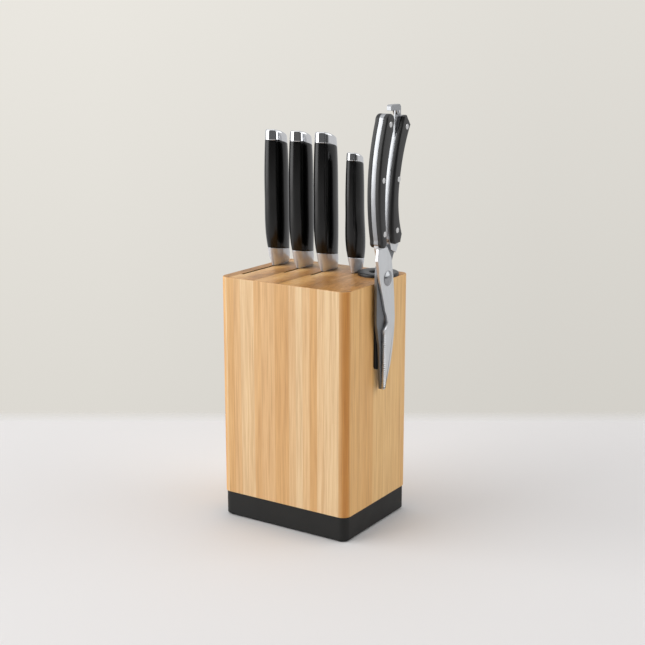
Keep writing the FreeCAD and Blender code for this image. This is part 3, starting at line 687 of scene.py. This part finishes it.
@dataclass
class Block:
    """Bamboo boards, plinth, mat and screws, and the fittings in the block."""

    boards: tuple[str, ...] = ("left_board", "left_inner_board", "middle_board",
                               "right_inner_board", "right_board")
    flange: float = 3.0
    spigot: float = 11.0
    bore: float = 8.0
    collar_round: float = 1.3

    def build(self) -> None:
        """Build every piece of the block."""
        for board in self.boards:
            merged_copy(board, sharp_degrees=40)
        merged_copy("plinth", finish="base", sharp_degrees=40)
        merged_copy("non_slip_mat", finish="mat")
        merged_copy("plinth_screws", finish="zinc")
        merged_copy("shears_magnets", finish="zinc")
        self.collar()
        merged_copy("magnet_pad", finish="pad", sharp_degrees=50)

    def collar(self) -> None:
        """Collar of the honing-steel hole: a profile turned about its bore."""
        low, high = (np.array(corner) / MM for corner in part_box("steel_collar"))
        centre, outer, top = (low + high) / 2, (high[0] - low[0]) / 2, high[2]
        seat = top - self.flange
        spigot, bore, edge = self.spigot, self.bore, self.collar_round
        quarter = np.linspace(0, math.pi / 2, 6)
        profile = [(bore, low[2]), (spigot, low[2]), (spigot, seat), (outer, seat)]
        profile += [(outer - edge * (1 - math.cos(a)), top - edge * (1 - math.sin(a))) for a in quarter]
        profile += [(bore + edge * (1 - math.sin(a)), top - edge * (1 - math.cos(a))) for a in quarter]
        rows = lathe_rows(profile + [profile[0]], 96)
        points = (rows + np.array([centre[0], centre[1], 0.0])).reshape(-1, 3) * MM
        faces = ring_faces(rows.shape[0], rows.shape[1], False, False)
        piece = new_piece("steel_hole_collar", points, faces, "collar", "block")
        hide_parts("steel_collar")


# ---------------- knives

@dataclass(frozen=True)
class Station:
    """One cross-section of a handle, above the top of the block."""

    height: float
    centre: float
    depth: float
    thick: float


@dataclass(frozen=True)
class HandleForm:
    """Outer form and joints of a handle. Joint heights are at its front and back.

    The tang inside is given by half its depth and the height of its end.
    """

    stations: tuple[Station, ...]
    ferrule: tuple[float, float]
    grip_end: tuple[float, float]
    butt: tuple[float, float]
    tang: tuple[float, float]
    seat_lift: float
    squareness: float = 2.05
    line_bend: float = 1.7
    hollow: float = 1.4

    def curve(self, name: str, height: np.ndarray) -> np.ndarray:
        """One size of the handle along its height.

        Args:
            name: Field of the stations.
            height: Heights above the top of the block.

        Returns:
            The size at each height.
        """
        places = np.array([station.height for station in self.stations])
        values = np.array([getattr(station, name) for station in self.stations])
        return smooth_between(places, values, height)

    def ring(self, turn: np.ndarray, height: np.ndarray, inset: float | np.ndarray = 0.0) -> np.ndarray:
        """Points round the handle: a superellipse |x/b|^n + |y/a|^n = 1 about the centre line.

        Args:
            turn: Angles round the handle.
            height: Height of the point at each angle.
            inset: Distance that the ring is drawn in.

        Returns:
            Points, one row each.
        """
        seat, neck = self.stations[0], self.stations[1]
        climb = np.clip((height - seat.height) / (neck.height - seat.height), 0.0, 1.0)
        flare = seat.thick + (neck.thick - seat.thick) * (1 - (1 - climb) ** self.hollow)
        thick = np.where(climb < 1.0, flare, self.curve("thick", height))
        half_x = thick / 2 - inset
        half_y = self.curve("depth", height) / 2 - inset
        cosine, sine = half_x * np.cos(turn), half_y * np.sin(turn)
        reach = (np.abs(cosine / half_x) ** self.squareness
                 + np.abs(sine / half_y) ** self.squareness) ** (-1 / self.squareness)
        return np.stack([cosine * reach, self.curve("centre", height) + sine * reach, height], axis=-1)


LARGE_HANDLE = HandleForm(
    stations=(Station(0.3, 26.0, 25.0, 9.0), Station(16.0, 22.9, 27.2, 15.2), Station(68.0, 20.4, 29.0, 18.6),
              Station(110.0, 20.0, 26.8, 17.4), Station(128.0, 19.6, 24.0, 15.4)),
    ferrule=(18.0, 14.0), grip_end=(116.5, 110.0), butt=(126.2, 117.2), tang=(5.0, 113.0),
    seat_lift=1.6, hollow=2.8)
SMALL_HANDLE = HandleForm(
    stations=(Station(0.3, 29.0, 17.8, 4.2), Station(14.0, 27.2, 20.2, 12.8), Station(58.0, 24.6, 22.0, 14.8),
              Station(94.0, 24.2, 20.4, 13.8), Station(110.5, 24.0, 18.4, 12.4)),
    ferrule=(15.6, 12.6), grip_end=(101.8, 96.6), butt=(109.0, 101.6), tang=(3.6, 99.0),
    seat_lift=0.9)


class EdgeKind(Enum):
    """How a blade's cutting edge is ground."""

    PLAIN = "plain"
    SERRATED = "serrated"


@dataclass(frozen=True)
class BladeForm:
    """Size of a blade below the block's top, and its cutting edge."""

    length: float
    width: float
    spine: float
    belly: float
    edge: EdgeKind = EdgeKind.PLAIN
    thickness: float = 2.2
    heel: float = 5.0
    belly_bend: float = 2.1
    point_width: float = 1.6
    spine_drop: float = 1.4
    edge_share: float = 0.06
    flat_share: float = 0.42
    serration: float = 7.5
    serration_depth: float = 0.9


@dataclass
class Knife:
    """One knife: blade, bolster, grip and end cap."""

    name: str
    handle: HandleForm
    blade: BladeForm
    around: int = 112
    seat_round: float = 0.25
    joint_round: float = 0.45
    butt_round: float = 1.5
    seam: float = 0.08
    top: float = field(init=False)
    place: float = field(init=False)

    def __post_init__(self) -> None:
        """Take the knife's place from the frame."""
        low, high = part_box(f"{self.name}_blade")
        self.place = (low.x + high.x) / 2 / MM
        self.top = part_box("right_board")[1].z / MM

    def build(self) -> None:
        """Build and dress the knife's four pieces."""
        self.make_blade()
        form = self.handle
        seat = form.stations[0]
        sweep = (np.arange(self.around) + 0.5) / self.around * 2 * math.pi

        def slanted(joint: tuple[float, float], bend: float) -> np.ndarray:
            """Height of a joint round the handle: from front to back it falls as share ** bend.

            Args:
                joint: Heights at the front and the back.
                bend: Power of the fall.

            Returns:
                The height at each angle.
            """
            middle = sum(joint) / 2
            ring = form.ring(sweep, np.full(self.around, middle))
            belly = form.stations[2]
            share = np.clip((ring[:, 1] - (belly.centre - belly.depth / 2)) / belly.depth, 0.0, 1.0)
            return joint[0] + (joint[1] - joint[0]) * share ** bend

        seat_ring = form.ring(sweep, np.full(self.around, seat.height))
        share = np.clip((seat_ring[:, 1] - seat.centre) / seat.depth + 0.5, 0.0, 1.0)
        seat_line = seat.height + form.seat_lift * share
        ferrule = slanted(form.ferrule, 1.0)
        grip_end, butt = (slanted(joint, form.line_bend) for joint in (form.grip_end, form.butt))
        joint, steel = self.joint_round, "polished_steel"
        for sleeve in (("bolster", seat_line, ferrule, self.seat_round, joint, 26, "bolster", steel),
                       ("grip", ferrule, grip_end, joint, joint, 60, "grip", "black_grip"),
                       ("cap", grip_end, butt, joint, self.butt_round, 14, "polished", steel)):
            self.sleeve(*sleeve, sweep)

    def sleeve(self, part: str, low: np.ndarray, high: np.ndarray, low_round: float, high_round: float,
               count: int, finish: str, slot: str, sweep: np.ndarray) -> None:
        """A length of the handle between two lines, with rounded ends.

        Rows run from the low line to the high line. Within a rounding r of an end, at distance d
        from it, the ring is drawn in by r * (1 - sqrt(1 - (1 - d / r)^2)).

        Args:
            part: Piece of the knife.
            low: Height of the low line at each angle.
            high: Height of the high line.
            low_round: Rounding at the low line.
            high_round: Rounding at the high line.
            count: Number of rings between the roundings.
            finish: Key of the finish.
            slot: Not used.
            sweep: Angles round the handle.
        """
        def distances(radius: float) -> np.ndarray:
            """Distances from an end at which a rounding has its rings."""
            return radius * (1 - np.cos(np.linspace(0, math.pi / 2, 6)))

        span = float(np.min(high - low))
        start, stop = distances(low_round), distances(high_round)
        middle = np.linspace(low_round, span - high_round, count)[1:-1]
        rows = []
        for along in np.concatenate([start, middle, span - stop[::-1]]):
            lower, upper = min(along, low_round), min(span - along, high_round)
            inset = low_round * (1 - math.sqrt(max(0.0, 1 - (1 - lower / low_round) ** 2)))
            inset += high_round * (1 - math.sqrt(max(0.0, 1 - (1 - upper / high_round) ** 2)))
            if along <= low_round:
                height = low + along
            elif along >= span - high_round:
                height = high - (span - along)
            else:
                share = (along - low_round) / (span - low_round - high_round)
                height = (low + low_round) * (1 - share) + (high - high_round) * share
            rows.append(self.handle.ring(sweep, height, inset + self.seam))
        points, faces = tube(np.array(rows) + np.array([self.place, 0.0, self.top]))
        piece = new_piece(f"{self.name}_{part}_piece", points, faces, finish, f"{self.name}_knife", 40)
        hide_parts(f"{self.name}_{part}")

    def make_blade(self) -> None:
        """Blade and tang as rings round the blade, from the end of the tang to the point.

        Each ring has the spine's thickness at the back and tapers to the edge; the edge curves
        back to the point over the belly's length as the square of the distance run.
        """
        form, handle = self.blade, self.handle
        tang_y, (tang_half, tang_top) = handle.stations[2].centre, handle.tang
        seat = handle.stations[0]
        neck_front = seat.centre - seat.depth * 0.4
        edge_y = form.spine - form.width
        rows_z = [tang_top, handle.ferrule[1] - 2.0, handle.seat_lift + 2.0, 1.0 - form.heel]
        back = [tang_y + tang_half, tang_y + tang_half, form.spine, form.spine]
        front = [tang_y - tang_half, tang_y - tang_half, neck_front, neck_front]
        flat = [1.0, 1.0, 1.0, 1.0]
        steps = 420 if form.edge is EdgeKind.SERRATED else 90
        share = np.linspace(0.0, 1.0, steps)
        down = -form.heel - share * (form.length - form.heel)
        run = np.clip((share - (1 - form.belly)) / form.belly, 0.0, 1.0)
        edge = edge_y + (form.width - form.point_width) * run ** form.belly_bend
        spine = form.spine - form.spine_drop * run ** 3
        if form.edge is EdgeKind.SERRATED:
            scallops = np.abs(np.sin(math.pi * down / form.serration))
            edge = edge + form.serration_depth * scallops * (run < 0.9)
        z = np.concatenate([rows_z, down])
        y_back = np.concatenate([back, spine])
        y_front = np.concatenate([front, edge])
        blunt = np.concatenate([flat, np.full(steps, form.edge_share)])
        taper = np.concatenate([flat, 1.0 - 0.45 * share]) * form.thickness / 2
        across_ring = np.array([0.0, form.flat_share, 0.9, 1.0])
        rings = []
        for side in (1, -1):
            for part in (across_ring if side > 0 else across_ring[::-1]):
                ground = np.clip((part - form.flat_share) / (1.0 - form.flat_share), 0.0, 1.0)
                half = taper * (1 - (1 - blunt) * ground)
                y = y_back + (y_front - y_back) * part
                rings.append(np.column_stack([np.full(len(z), self.place) + side * half, y, z + self.top]))
        rows = np.stack(rings, axis=1)
        points, faces = tube(rows)
        piece = new_piece(f"{self.name}_blade_piece", points, faces, "blade", f"{self.name}_knife",
                          12)
        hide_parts(f"{self.name}_blade")


# ---------------- poultry shears

@dataclass
class Shears:
    """Poultry shears, closed and hanging with the points down. Outlines are from the pivot."""

    plate_thick: float = 2.85
    pitch: float = 1.9
    tooth: float = 0.5
    flute: float = 1.3
    ground: float = 1.1
    front_blade: tuple = ((-15.9, 27.4), (-17.1, 17.0), (-12.1, -2.4), (-7.0, -16.5), (-2.4, -30.0),
                          ((0.2, -37.0), (-4.9, -45.5)), (-4.9, -99.2), (-3.4, -99.2), (5.5, -78.5),
                          ((10.5, -58.0), (12.6, -36.0)), (11.0, -15.5), (9.2, 0.0), (5.8, 17.0),
                          (-1.5, 27.4))
    back_blade: tuple = ((3.5, 28.4), (-12.6, 10.5), (-13.3, 4.0), (-13.1, -38.0), (-7.8, -60.0),
                         (-6.4, -84.0), (-4.6, -99.2), (0.6, -99.2), (0.6, -45.0), (1.5, -30.0),
                         (7.5, -14.0), (9.4, 3.0), (11.8, 13.5), (19.0, 27.2), (18.6, 28.4))
    front_shoulder: tuple = ((-16.6, 35.0), (-15.9, 27.4), (-12.2, 18.0), (-4.0, 24.0), (-1.5, 27.4),
                             (-2.6, 31.0), (-7.8, 35.0))
    back_shoulder: tuple = ((2.7, 36.0), (4.6, 30.0), (6.6, 24.0), (14.5, 20.5), (19.0, 27.2), (17.8, 36.0))
    front_handle: tuple = (((-12.4, 28.0), (-7.8, 34.0)), ((-10.6, 80.0), (2.4, 133.0)),
                           ((-2.5, 141.0), (-9.8, 135.0)), ((-20.9, 88.0), (-16.6, 34.0)))
    back_handle: tuple = (((5.6, 29.6), (10.0, 29.2)), (15.2, 29.6), (17.9, 36.8),
                          ((12.2, 56.0), (12.9, 82.0)), ((18.0, 103.0), (30.4, 130.2)),
                          (23.6, 138.6), (19.6, 137.6), ((4.6, 92.0), (2.6, 35.0)))
    latch_lug: tuple = ((12.4, 120.0), (21.5, 120.0), (21.5, 137.0), (20.3, 144.3), (13.4, 144.3))
    rivets: dict = field(default_factory=lambda: {
        "front": ((-4.4, 132.2), (-14.9, 86.2), (-12.2, 40.2)),
        "back": ((23.6, 128.6), (10.8, 84.8), (9.2, 41.0))})
    scale_round: float = 1.7
    rivet_radius: float = 2.8
    rivet_crown: float = 0.4
    lug_half: float = 1.0
    shaft: tuple[float, float] = (3.0, 8.0)
    head_radius: float = 6.75
    head_foot: float = 0.35

    def __post_init__(self) -> None:
        """Take the pivot and the plates' faces from the frame."""
        nut_low, nut_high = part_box("pivot_nut")
        screw_low, screw_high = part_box("pivot_screw")
        centre = (nut_low + nut_high) / 2 / MM
        self.pivot = np.array([centre.y, centre.z])
        self.head_face = screw_high.x / MM
        self.front_x = (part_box("front_outer_scale")[0].x / MM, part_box("front_outer_scale")[1].x / MM)
        self.inner_x = (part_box("front_inner_scale")[0].x / MM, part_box("front_inner_scale")[1].x / MM)
        self.back_plate = (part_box("back_blade")[0].x / MM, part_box("back_blade")[0].x / MM + self.plate_thick)
        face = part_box("front_blade")[1].x / MM
        self.front_plate = (face - self.plate_thick, face)

    def plate(self, name: str, corners: tuple, faces_x: tuple[float, float], rims: tuple[float, float],
              finish: str, body: str, bevel: np.ndarray | float = 0.0,
              points: np.ndarray | None = None, teeth: np.ndarray | float = 0.0) -> Object:
        """A plate between two faces across X, from an outline about the pivot; teeth cut it back.

        Args:
            name: Name of the piece.
            corners: Corners and arcs of the outline.
            faces_x: Places of its two faces.
            rims: Radii of its two rims.
            finish: Key of the finish.
            body: Body that it rides on.
            bevel: Width of the bevel on the far face.
            points: Outline to use in place of the corners.
            teeth: Distance that each point is cut back along Y.

        Returns:
            The piece.
        """
        if points is None:
            points = outline(list(corners))
        rows = plate_rows(points + self.pivot, *faces_x, *rims, bevel)
        rows[..., 1] += teeth
        verts, faces = tube(rows)
        return new_piece(name, verts, faces, finish, body, 30)

    def build(self) -> None:
        """Build the two halves, the pivot and the latch."""
        self.front_half()
        self.back_half()
        self.pivot_parts()
        merged_copy("latch", bevel=0.25, finish="latch", body="shears_latch")
        merged_copy("latch_pin", bevel=0.2, finish="rivet", body="shears_back")

    def front_half(self) -> None:
        """Front blade with its serrated edge and bone notch, its tang and its scales."""
        points = outline(list(self.front_blade), 0.32)
        cutting = (points[:, 1] < -50.0) & (points[:, 1] > -98.0) & (points[:, 0] < -4.0)
        wave = 0.5 - 0.5 * np.cos(2 * math.pi * points[:, 1] / self.pitch)
        teeth = np.where(cutting, self.tooth * wave, 0.0)
        notch = ((points[:, 1] < 4.0) & (points[:, 1] > -46.0) & (points[:, 0] < 3.0)).astype(float)
        edge = np.convolve(np.concatenate([notch[-12:], notch, notch[:12]]), np.ones(25) / 25, "valid")
        bevel = self.ground * edge + np.where(cutting, 0.7 + self.flute * wave, 0.0)
        blade = self.plate("front_blade_plate", (), self.front_plate, (0.05, 0.3), "shears", "shears",
                           bevel, points, teeth)
        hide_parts("front_blade")
        tang_x = (self.inner_x[1], self.front_x[0])
        self.plate("front_shoulder", self.front_shoulder, tang_x, (0.5, 0.5), "shears", "shears")
        self.plate("front_tang", self.front_handle, tang_x, (0.25, 0.25), "tang", "shears")
        self.scales("front", self.front_handle, "shears")

    def back_half(self) -> None:
        """Back blade, its tang with the latch lug, and its scales."""
        # The back blade's steel is darker: painted shade, since it lies behind the front blade.
        blade = self.plate("back_blade_plate", self.back_blade, self.back_plate, (0.35, 0.35), "hollow",
                           "shears_back", points=outline(list(self.back_blade), 0.8))
        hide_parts("back_blade")
        tang_x = (self.inner_x[1], self.front_x[0])
        self.plate("back_shoulder", self.back_shoulder, tang_x, (0.5, 0.5), "shears", "shears_back")
        self.plate("back_tang", self.back_handle, tang_x, (0.25, 0.25), "tang", "shears_back")
        middle = sum(tang_x) / 2
        lug_x = (middle - self.lug_half, middle + self.lug_half)
        self.plate("latch_lug", self.latch_lug, lug_x, (0.3, 0.3), "tang", "shears_back")
        self.scales("back", self.back_handle, "shears_back")

    def scales(self, side: str, handle: tuple, body: str) -> None:
        """Two scales with a rounded outer rim, and the rivets through them.

        Args:
            side: Half of the shears, front or back.
            handle: Corners and arcs of the handle.
            body: Body that they ride on.
        """
        for label, faces_x, rims in (("outer", self.front_x, (0.15, self.scale_round)),
                                     ("inner", self.inner_x, (self.scale_round, 0.15))):
            piece = self.plate(f"{side}_{label}_scale_piece", handle, faces_x, rims, "scale", body)
            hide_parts(f"{side}_{label}_scale")
        low, high = (corner.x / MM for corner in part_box(f"{side}_rivets"))
        half, radius = (high - low) / 2, self.rivet_radius
        quarter = np.linspace(0, math.pi / 2, 6)
        crown = [(radius * math.cos(a) ** 0.6 if a < quarter[-1] else 0.01,
                  half - self.rivet_crown * (1 - math.sin(a))) for a in quarter]
        profile = [(r, -h) for r, h in crown[::-1]] + crown
        parts = []
        for across_y, up in self.rivets[side]:
            centre = ((low + high) / 2, self.pivot[0] + across_y, self.pivot[1] + up)
            parts.append(across(lathe_rows(profile, 40), centre))
        points, faces = zip(*(tube(rows) for rows in parts))
        count = len(points[0])
        joined = [[index + count * number for index in face] for number, group in enumerate(faces)
                  for face in group]
        piece = new_piece(f"{side}_rivet_set", np.concatenate(points), joined, "rivet", body,
                          50)
        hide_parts(f"{side}_rivets")

    def pivot_parts(self) -> None:
        """Domed screw head with a turned foot ring, and the nut and spring behind."""
        seat = self.front_plate[1]
        radius, foot, (shaft, depth) = self.head_radius, self.head_foot, self.shaft
        crown = self.head_face - seat - foot
        ball = (radius ** 2 + crown ** 2) / (2 * crown)
        dome = [(max(0.01, ball * math.sin(a)), foot + crown - ball * (1 - math.cos(a)))
                for a in np.linspace(math.asin(radius / ball), 0.0, 14)]
        neck = radius - 0.5
        profile = [(shaft, -depth), (shaft, 0.0), (neck, 0.0), (neck, 0.2), (radius, 0.2)] + dome
        rows = across(lathe_rows(profile, 64), (seat, *self.pivot))
        points, faces = tube(rows)
        piece = new_piece("pivot_screw_piece", points, faces, "screw", "shears", 40)
        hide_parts("pivot_screw")
        merged_copy("pivot_nut", bevel=0.2, finish="rivet", body="shears")
        merged_copy("opening_spring", finish="spring", body="shears", sharp_degrees=60)


# ---------------- studio

@dataclass
class Studio:
    """Pale floor, soft lights and the camera."""

    camera_place: tuple[float, float, float] = (0.6139, -0.9330, 0.4443)
    azimuth: float = 33.0
    pitch: float = 13.29
    lens: float = 70.7163
    sensor: float = 36.0
    floor_reach: float = 6.0
    floor_end: float = 0.31
    floor_fade: float = 0.04
    wall_light: float = 0.8
    dark_light: float = 0.15

    def build(self) -> None:
        """Set up the camera, the floor, the world and the lights."""
        bpy.context.scene.view_settings.view_transform = "Standard"
        self.place_camera()
        self.lay_floor()
        self.light_world()
        self.softbox("key_softbox", (-1.45, -1.35, 0.9), (2.1, 2.1), 33.0)
        self.softbox("side_softbox", (1.5, 0.7, 1.0), (1.8, 1.2), 9.0)
        self.softbox("overhead_softbox", (-0.1, -0.1, 1.8), (1.6, 1.6), 5.0)

    def place_camera(self) -> None:
        """Put the camera where it sees the block's right front corner."""
        data = bpy.data.cameras.new("camera")
        data.sensor_width = self.sensor
        data.lens = self.lens
        camera = bpy.data.objects.new("camera", data)
        camera.location = self.camera_place
        camera.rotation_euler = (math.radians(90 - self.pitch), 0.0, math.radians(self.azimuth))
        bpy.context.scene.collection.objects.link(camera)
        bpy.context.scene.camera = camera

    def lay_floor(self) -> None:
        """Matt paper floor that ends softly behind the object, square to the line of sight."""
        mesh = bpy.data.meshes.new("studio_floor")
        turn = math.radians(self.azimuth)
        sight, side = np.array([-math.sin(turn), math.cos(turn)]), np.array([math.cos(turn), math.sin(turn)])
        reach, end = self.floor_reach, self.floor_end
        corners = [sight * along + side * wide for along, wide in
                   ((-reach, -reach), (-reach, reach), (end, reach), (end, -reach))]
        mesh.from_pydata([(x, y, 0.0) for x, y in corners], [], [(0, 1, 2, 3)])
        material, tree, shader = start_material("matt_paper")
        place = add_node(tree, "TexCoord").outputs["Object"]
        mottling = add_node(tree, "TexNoise", Vector=place, Scale=3.0)
        colour = add_node(tree, "ValToRGB", {"stops": [(0.0, "#e4e2e1"), (1.0, "#e7e5e4")]}, Fac=mottling)
        feed(tree, shader, Base_Color=colour, Roughness=0.9)
        along = add_node(tree, "VectorMath", DOT, i0=place, i1=(*sight, 0.0))
        fade = add_node(tree, "MapRange", Value=along, i1=end - self.floor_fade, i2=end)
        clear = add_node(tree, "BsdfTransparent")
        both = add_node(tree, "MixShader", Fac=fade, i1=shader, i2=clear)
        feed(tree, tree.nodes["Material Output"], Surface=both)
        mesh.materials.append(material)
        floor = bpy.data.objects.new("studio_floor", mesh)
        bpy.context.scene.collection.objects.link(floor)

    def light_world(self) -> None:
        """A pale wall all round as the camera sees it, and a dark front quarter in reflections."""
        world = bpy.data.worlds.new("studio")
        bpy.context.scene.world = world
        world.use_nodes = True
        tree = world.node_tree
        tree.nodes.clear()
        direction = add_node(tree, "TexCoord").outputs["Generated"]
        up = add_node(tree, "SeparateXYZ", Vector=direction).outputs["Z"]
        turn = math.radians(self.azimuth)

        def towards(x: float, y: float) -> Node:
            """Cosine between the ray and a level direction."""
            return add_node(tree, "VectorMath", DOT, i0=direction, i1=(x, y, 0.0))

        # Painted shade on the wall seen behind: darker lower down and towards the right.
        height = add_node(tree, "MapRange", Value=up, i1=-0.3, i2=0.02)
        wall = add_node(tree, "ValToRGB", {"stops": [(0.0, "#dad7d0"), (1.0, "#e8e5de")]}, Fac=height)
        right = towards(math.cos(turn), math.sin(turn))
        sideways = add_node(tree, "MapRange", Value=right, i1=-0.17, i2=0.17, i3=1.02, i4=0.93)
        seen = add_node(tree, "Background", Color=wall, Strength=sideways)
        dark = add_node(tree, "MapRange", Value=towards(0.67, -0.74), i1=0.3, i2=0.55,
                        i3=self.wall_light, i4=self.dark_light)
        felt = add_node(tree, "Background", Color=linear("#f1f1f2"), Strength=dark)
        path = add_node(tree, "LightPath").outputs["Is Camera Ray"]
        both = add_node(tree, "MixShader", Fac=path, i1=felt, i2=seen)
        add_node(tree, "OutputWorld", Surface=both)

    def softbox(self, name: str, place: tuple[float, float, float], size: tuple[float, float],
                power: float) -> None:
        """An area light that faces the middle of the object.

        Args:
            name: Name of the light.
            place: Where it stands, in metres.
            size: Its width and height, in metres.
            power: Its power, in watts.
        """
        data = bpy.data.lights.new(name, "AREA")
        data.shape = "RECTANGLE"
        data.size, data.size_y = size
        data.energy = power
        light = bpy.data.objects.new(name, data)
        light.location = place
        aim = np.array([0.0, 0.0, 0.18]) - np.array(place)
        flat = math.hypot(aim[0], aim[1])
        light.rotation_euler = (math.atan2(flat, -aim[2]), 0.0, math.atan2(-aim[0], aim[1]))
        bpy.context.scene.collection.objects.link(light)


def main() -> None:
    """Build the block, the knives and the shears, then the studio."""
    logging.basicConfig(level=logging.INFO, format="%(name)s: %(message)s")
    Block().build()
    knives = (
        Knife("chef", LARGE_HANDLE, BladeForm(194.0, 46.0, 38.0, 0.55)),
        Knife("carving", LARGE_HANDLE, BladeForm(194.0, 31.0, 38.0, 0.35)),
        Knife("bread", LARGE_HANDLE, BladeForm(194.0, 34.0, 38.0, 0.18, EdgeKind.SERRATED)),
        Knife("utility", SMALL_HANDLE, BladeForm(130.0, 15.0, 36.8, 0.4)),
    )
    for knife in knives:
        knife.build()
    Shears().build()
    Studio().build()


if __name__ == "__main__":
    main()
